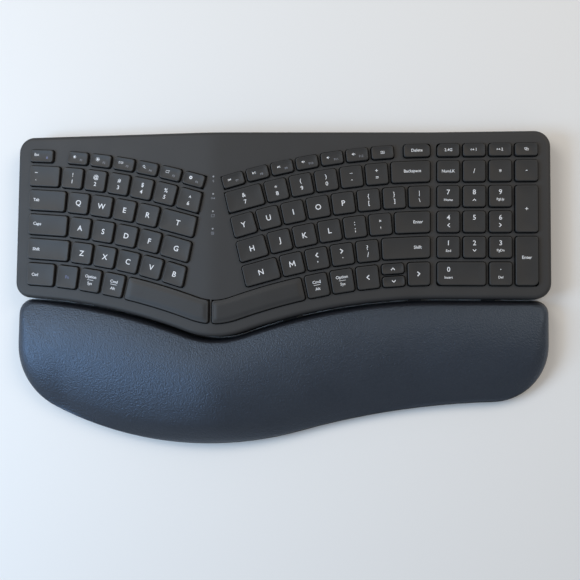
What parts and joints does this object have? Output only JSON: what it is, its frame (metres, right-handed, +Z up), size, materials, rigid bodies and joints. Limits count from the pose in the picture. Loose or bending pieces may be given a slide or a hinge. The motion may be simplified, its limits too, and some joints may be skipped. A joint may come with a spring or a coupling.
{
  "type": "ergonomic keyboard",
  "caption": "Tented split-layout computer keyboard with curved key rows, a number pad, a padded leatherette wrist rest and fold-down legs.",
  "frame": {"origin": "on the desk plane, under the middle of the whole keyboard with its wrist rest", "axes": "+X towards the number pad at the user's right, +Y away from the user, +Z up from the desk"},
  "size_m": [0.409, 0.2374, 0.0305],
  "materials": {
    "case_plastic": "fine matt texture",
    "key_plastic": "satin, with pale printed legends",
    "switch_plastic": "matt",
    "dome_silicone": "translucent silicone",
    "membrane_film": "clear film with printed tracks",
    "plate_steel": "bare sheet",
    "board_laminate": "solder mask",
    "battery_wrap": "foil pouch",
    "socket_steel": "plated shell",
    "light_plastic": "clear light guide",
    "screw_steel": "blackened",
    "foot_rubber": "matt",
    "cover_leather": "fine grained leatherette",
    "rest_foam": "open foam"
  },
  "bodies": {
    "keyboard_body": {"top_case": "case_plastic", "bottom_case": "case_plastic", "dome_sheet": "dome_silicone", "membrane_sheet": "membrane_film", "steel_plate": "plate_steel", "controller_board": "board_laminate", "battery_pack": "battery_wrap", "charging_socket": "socket_steel", "light_guide": "light_plastic", "case_screws": "screw_steel", "rubber_feet": "foot_rubber", "rest_tray": "case_plastic", "rest_cover": "cover_leather", "rest_foam": "rest_foam"},
    "left_leg_body": {"left_leg": "case_plastic"},
    "right_leg_body": {"right_leg": "case_plastic"},
    "switch_body": {"power_switch": "switch_plastic"},
    "key_escape_body": {"key_escape": "key_plastic"},
    "key_backquote_body": {"key_backquote": "key_plastic"},
    "key_tab_body": {"key_tab": "key_plastic"},
    "key_caps_lock_body": {"key_caps_lock": "key_plastic"},
    "key_left_shift_body": {"key_left_shift": "key_plastic"},
    "key_left_ctrl_body": {"key_left_ctrl": "key_plastic"},
    "key_t_body": {"key_t": "key_plastic"},
    "key_g_body": {"key_g": "key_plastic"},
    "key_left_space_body": {"key_left_space": "key_plastic"},
    "keys_function_left_body": {"keys_function_left": "key_plastic"},
    "keys_number_left_body": {"keys_number_left": "key_plastic"},
    "keys_upper_left_body": {"keys_upper_left": "key_plastic"},
    "keys_home_left_body": {"keys_home_left": "key_plastic"},
    "keys_lower_left_body": {"keys_lower_left": "key_plastic"},
    "keys_left_modifier_body": {"keys_left_modifier": "key_plastic"},
    "key_7_body": {"key_7": "key_plastic"},
    "key_h_body": {"key_h": "key_plastic"},
    "key_n_body": {"key_n": "key_plastic"},
    "key_delete_body": {"key_delete": "key_plastic"},
    "key_backspace_body": {"key_backspace": "key_plastic"},
    "key_enter_body": {"key_enter": "key_plastic"},
    "key_right_shift_body": {"key_right_shift": "key_plastic"},
    "key_arrow_left_body": {"key_arrow_left": "key_plastic"},
    "key_arrow_up_body": {"key_arrow_up": "key_plastic"},
    "key_arrow_down_body": {"key_arrow_down": "key_plastic"},
    "key_arrow_right_body": {"key_arrow_right": "key_plastic"},
    "key_right_space_body": {"key_right_space": "key_plastic"},
    "keys_function_right_body": {"keys_function_right": "key_plastic"},
    "keys_number_right_body": {"keys_number_right": "key_plastic"},
    "keys_upper_right_body": {"keys_upper_right": "key_plastic"},
    "keys_home_right_body": {"keys_home_right": "key_plastic"},
    "keys_lower_right_body": {"keys_lower_right": "key_plastic"},
    "keys_right_modifier_body": {"keys_right_modifier": "key_plastic"},
    "key_pad_plus_body": {"key_pad_plus": "key_plastic"},
    "key_pad_enter_body": {"key_pad_enter": "key_plastic"},
    "key_pad_zero_body": {"key_pad_zero": "key_plastic"},
    "key_pad_point_body": {"key_pad_point": "key_plastic"},
    "keys_device_body": {"keys_device": "key_plastic"},
    "keys_pad_top_body": {"keys_pad_top": "key_plastic"},
    "keys_pad_upper_body": {"keys_pad_upper": "key_plastic"},
    "keys_pad_middle_body": {"keys_pad_middle": "key_plastic"},
    "keys_pad_lower_body": {"keys_pad_lower": "key_plastic"}
  },
  "joints": [
    {"name": "left_leg_hinge", "type": "hinge", "parent": "keyboard_body", "child": "left_leg_body", "pos_m": [-0.12, -0.0553, 0.003], "axis": [1, 0, 0], "range_deg": [0, 95]},
    {"name": "right_leg_hinge", "type": "hinge", "parent": "keyboard_body", "child": "right_leg_body", "pos_m": [0.112, -0.0433, 0.003], "axis": [1, 0, 0], "range_deg": [0, 95]},
    {"name": "power_switch_slide", "type": "slide", "parent": "keyboard_body", "child": "switch_body", "axis": [1, 0, 0], "range_m": [0, 0.0025]},
    {"name": "key_escape_press", "type": "slide", "parent": "keyboard_body", "child": "key_escape_body", "axis": [0.0699, 0, -0.9976], "range_m": [0, 0.0022], "stiffness_N_per_m": 300, "springref_m": -0.001, "deforming": ["dome_sheet"]},
    {"name": "key_backquote_press", "type": "slide", "parent": "keyboard_body", "child": "key_backquote_body", "axis": [0.0699, 0, -0.9976], "range_m": [0, 0.0022], "stiffness_N_per_m": 300, "springref_m": -0.001, "deforming": ["dome_sheet"]},
    {"name": "key_tab_press", "type": "slide", "parent": "keyboard_body", "child": "key_tab_body", "axis": [0.0699, 0, -0.9976], "range_m": [0, 0.0022], "stiffness_N_per_m": 300, "springref_m": -0.001, "deforming": ["dome_sheet"]},
    {"name": "key_caps_lock_press", "type": "slide", "parent": "keyboard_body", "child": "key_caps_lock_body", "axis": [0.0699, 0, -0.9976], "range_m": [0, 0.0022], "stiffness_N_per_m": 300, "springref_m": -0.001, "deforming": ["dome_sheet"]},
    {"name": "key_left_shift_press", "type": "slide", "parent": "keyboard_body", "child": "key_left_shift_body", "axis": [0.0699, 0, -0.9976], "range_m": [0, 0.0022], "stiffness_N_per_m": 300, "springref_m": -0.001, "deforming": ["dome_sheet"]},
    {"name": "key_left_ctrl_press", "type": "slide", "parent": "keyboard_body", "child": "key_left_ctrl_body", "axis": [0.0699, 0, -0.9976], "range_m": [0, 0.0022], "stiffness_N_per_m": 300, "springref_m": -0.001, "deforming": ["dome_sheet"]},
    {"name": "key_t_press", "type": "slide", "parent": "keyboard_body", "child": "key_t_body", "axis": [0.0699, 0, -0.9976], "range_m": [0, 0.0022], "stiffness_N_per_m": 300, "springref_m": -0.001, "deforming": ["dome_sheet"]},
    {"name": "key_g_press", "type": "slide", "parent": "keyboard_body", "child": "key_g_body", "axis": [0.0699, 0, -0.9976], "range_m": [0, 0.0022], "stiffness_N_per_m": 300, "springref_m": -0.001, "deforming": ["dome_sheet"]},
    {"name": "key_left_space_press", "type": "slide", "parent": "keyboard_body", "child": "key_left_space_body", "axis": [0.0699, 0, -0.9976], "range_m": [0, 0.0022], "stiffness_N_per_m": 300, "springref_m": -0.001, "deforming": ["dome_sheet"]},
    {"name": "keys_function_left_press", "type": "slide", "parent": "keyboard_body", "child": "keys_function_left_body", "axis": [0.0699, 0, -0.9976], "range_m": [0, 0.0022], "stiffness_N_per_m": 1800, "springref_m": -0.001, "deforming": ["dome_sheet"]},
    {"name": "keys_number_left_press", "type": "slide", "parent": "keyboard_body", "child": "keys_number_left_body", "axis": [0.0699, 0, -0.9976], "range_m": [0, 0.0022], "stiffness_N_per_m": 1800, "springref_m": -0.001, "deforming": ["dome_sheet"]},
    {"name": "keys_upper_left_press", "type": "slide", "parent": "keyboard_body", "child": "keys_upper_left_body", "axis": [0.0699, 0, -0.9976], "range_m": [0, 0.0022], "stiffness_N_per_m": 1200, "springref_m": -0.001, "deforming": ["dome_sheet"]},
    {"name": "keys_home_left_press", "type": "slide", "parent": "keyboard_body", "child": "keys_home_left_body", "axis": [0.0699, 0, -0.9976], "range_m": [0, 0.0022], "stiffness_N_per_m": 1200, "springref_m": -0.001, "deforming": ["dome_sheet"]},
    {"name": "keys_lower_left_press", "type": "slide", "parent": "keyboard_body", "child": "keys_lower_left_body", "axis": [0.0699, 0, -0.9976], "range_m": [0, 0.0022], "stiffness_N_per_m": 1500, "springref_m": -0.001, "deforming": ["dome_sheet"]},
    {"name": "keys_left_modifier_press", "type": "slide", "parent": "keyboard_body", "child": "keys_left_modifier_body", "axis": [0.0699, 0, -0.9976], "range_m": [0, 0.0022], "stiffness_N_per_m": 900, "springref_m": -0.001, "deforming": ["dome_sheet"]},
    {"name": "key_7_press", "type": "slide", "parent": "keyboard_body", "child": "key_7_body", "axis": [-0.0572, 0, -0.9984], "range_m": [0, 0.0022], "stiffness_N_per_m": 300, "springref_m": -0.001, "deforming": ["dome_sheet"]},
    {"name": "key_h_press", "type": "slide", "parent": "keyboard_body", "child": "key_h_body", "axis": [-0.0572, 0, -0.9984], "range_m": [0, 0.0022], "stiffness_N_per_m": 300, "springref_m": -0.001, "deforming": ["dome_sheet"]},
    {"name": "key_n_press", "type": "slide", "parent": "keyboard_body", "child": "key_n_body", "axis": [-0.0572, 0, -0.9984], "range_m": [0, 0.0022], "stiffness_N_per_m": 300, "springref_m": -0.001, "deforming": ["dome_sheet"]},
    {"name": "key_delete_press", "type": "slide", "parent": "keyboard_body", "child": "key_delete_body", "axis": [-0.0572, 0, -0.9984], "range_m": [0, 0.0022], "stiffness_N_per_m": 300, "springref_m": -0.001, "deforming": ["dome_sheet"]},
    {"name": "key_backspace_press", "type": "slide", "parent": "keyboard_body", "child": "key_backspace_body", "axis": [-0.0572, 0, -0.9984], "range_m": [0, 0.0022], "stiffness_N_per_m": 300, "springref_m": -0.001, "deforming": ["dome_sheet"]},
    {"name": "key_enter_press", "type": "slide", "parent": "keyboard_body", "child": "key_enter_body", "axis": [-0.0572, 0, -0.9984], "range_m": [0, 0.0022], "stiffness_N_per_m": 300, "springref_m": -0.001, "deforming": ["dome_sheet"]},
    {"name": "key_right_shift_press", "type": "slide", "parent": "keyboard_body", "child": "key_right_shift_body", "axis": [-0.0572, 0, -0.9984], "range_m": [0, 0.0022], "stiffness_N_per_m": 300, "springref_m": -0.001, "deforming": ["dome_sheet"]},
    {"name": "key_arrow_left_press", "type": "slide", "parent": "keyboard_body", "child": "key_arrow_left_body", "axis": [-0.0572, 0, -0.9984], "range_m": [0, 0.0022], "stiffness_N_per_m": 300, "springref_m": -0.001, "deforming": ["dome_sheet"]},
    {"name": "key_arrow_up_press", "type": "slide", "parent": "keyboard_body", "child": "key_arrow_up_body", "axis": [-0.0572, 0, -0.9984], "range_m": [0, 0.0022], "stiffness_N_per_m": 300, "springref_m": -0.001, "deforming": ["dome_sheet"]},
    {"name": "key_arrow_down_press", "type": "slide", "parent": "keyboard_body", "child": "key_arrow_down_body", "axis": [-0.0572, 0, -0.9984], "range_m": [0, 0.0022], "stiffness_N_per_m": 300, "springref_m": -0.001, "deforming": ["dome_sheet"]},
    {"name": "key_arrow_right_press", "type": "slide", "parent": "keyboard_body", "child": "key_arrow_right_body", "axis": [-0.0572, 0, -0.9984], "range_m": [0, 0.0022], "stiffness_N_per_m": 300, "springref_m": -0.001, "deforming": ["dome_sheet"]},
    {"name": "key_right_space_press", "type": "slide", "parent": "keyboard_body", "child": "key_right_space_body", "axis": [-0.0572, 0, -0.9984], "range_m": [0, 0.0022], "stiffness_N_per_m": 300, "springref_m": -0.001, "deforming": ["dome_sheet"]},
    {"name": "keys_function_right_press", "type": "slide", "parent": "keyboard_body", "child": "keys_function_right_body", "axis": [-0.0572, 0, -0.9984], "range_m": [0, 0.0022], "stiffness_N_per_m": 2100, "springref_m": -0.001, "deforming": ["dome_sheet"]},
    {"name": "keys_number_right_press", "type": "slide", "parent": "keyboard_body", "child": "keys_number_right_body", "axis": [-0.0572, 0, -0.9984], "range_m": [0, 0.0022], "stiffness_N_per_m": 1500, "springref_m": -0.001, "deforming": ["dome_sheet"]},
    {"name": "keys_upper_right_press", "type": "slide", "parent": "keyboard_body", "child": "keys_upper_right_body", "axis": [-0.0572, 0, -0.9984], "range_m": [0, 0.0022], "stiffness_N_per_m": 2400, "springref_m": -0.001, "deforming": ["dome_sheet"]},
    {"name": "keys_home_right_press", "type": "slide", "parent": "keyboard_body", "child": "keys_home_right_body", "axis": [-0.0572, 0, -0.9984], "range_m": [0, 0.0022], "stiffness_N_per_m": 1500, "springref_m": -0.001, "deforming": ["dome_sheet"]},
    {"name": "keys_lower_right_press", "type": "slide", "parent": "keyboard_body", "child": "keys_lower_right_body", "axis": [-0.0572, 0, -0.9984], "range_m": [0, 0.0022], "stiffness_N_per_m": 1200, "springref_m": -0.001, "deforming": ["dome_sheet"]},
    {"name": "keys_right_modifier_press", "type": "slide", "parent": "keyboard_body", "child": "keys_right_modifier_body", "axis": [-0.0572, 0, -0.9984], "range_m": [0, 0.0022], "stiffness_N_per_m": 600, "springref_m": -0.001, "deforming": ["dome_sheet"]},
    {"name": "key_pad_plus_press", "type": "slide", "parent": "keyboard_body", "child": "key_pad_plus_body", "axis": [0, 0, -1], "range_m": [0, 0.0022], "stiffness_N_per_m": 300, "springref_m": -0.001, "deforming": ["dome_sheet"]},
    {"name": "key_pad_enter_press", "type": "slide", "parent": "keyboard_body", "child": "key_pad_enter_body", "axis": [0, 0, -1], "range_m": [0, 0.0022], "stiffness_N_per_m": 300, "springref_m": -0.001, "deforming": ["dome_sheet"]},
    {"name": "key_pad_zero_press", "type": "slide", "parent": "keyboard_body", "child": "key_pad_zero_body", "axis": [0, 0, -1], "range_m": [0, 0.0022], "stiffness_N_per_m": 300, "springref_m": -0.001, "deforming": ["dome_sheet"]},
    {"name": "key_pad_point_press", "type": "slide", "parent": "keyboard_body", "child": "key_pad_point_body", "axis": [0, 0, -1], "range_m": [0, 0.0022], "stiffness_N_per_m": 300, "springref_m": -0.001, "deforming": ["dome_sheet"]},
    {"name": "keys_device_press", "type": "slide", "parent": "keyboard_body", "child": "keys_device_body", "axis": [0, 0, -1], "range_m": [0, 0.0022], "stiffness_N_per_m": 1200, "springref_m": -0.001, "deforming": ["dome_sheet"]},
    {"name": "keys_pad_top_press", "type": "slide", "parent": "keyboard_body", "child": "keys_pad_top_body", "axis": [0, 0, -1], "range_m": [0, 0.0022], "stiffness_N_per_m": 1200, "springref_m": -0.001, "deforming": ["dome_sheet"]},
    {"name": "keys_pad_upper_press", "type": "slide", "parent": "keyboard_body", "child": "keys_pad_upper_body", "axis": [0, 0, -1], "range_m": [0, 0.0022], "stiffness_N_per_m": 900, "springref_m": -0.001, "deforming": ["dome_sheet"]},
    {"name": "keys_pad_middle_press", "type": "slide", "parent": "keyboard_body", "child": "keys_pad_middle_body", "axis": [0, 0, -1], "range_m": [0, 0.0022], "stiffness_N_per_m": 900, "springref_m": -0.001, "deforming": ["dome_sheet"]},
    {"name": "keys_pad_lower_press", "type": "slide", "parent": "keyboard_body", "child": "keys_pad_lower_body", "axis": [0, 0, -1], "range_m": [0, 0.0022], "stiffness_N_per_m": 900, "springref_m": -0.001, "deforming": ["dome_sheet"]}
  ]
}
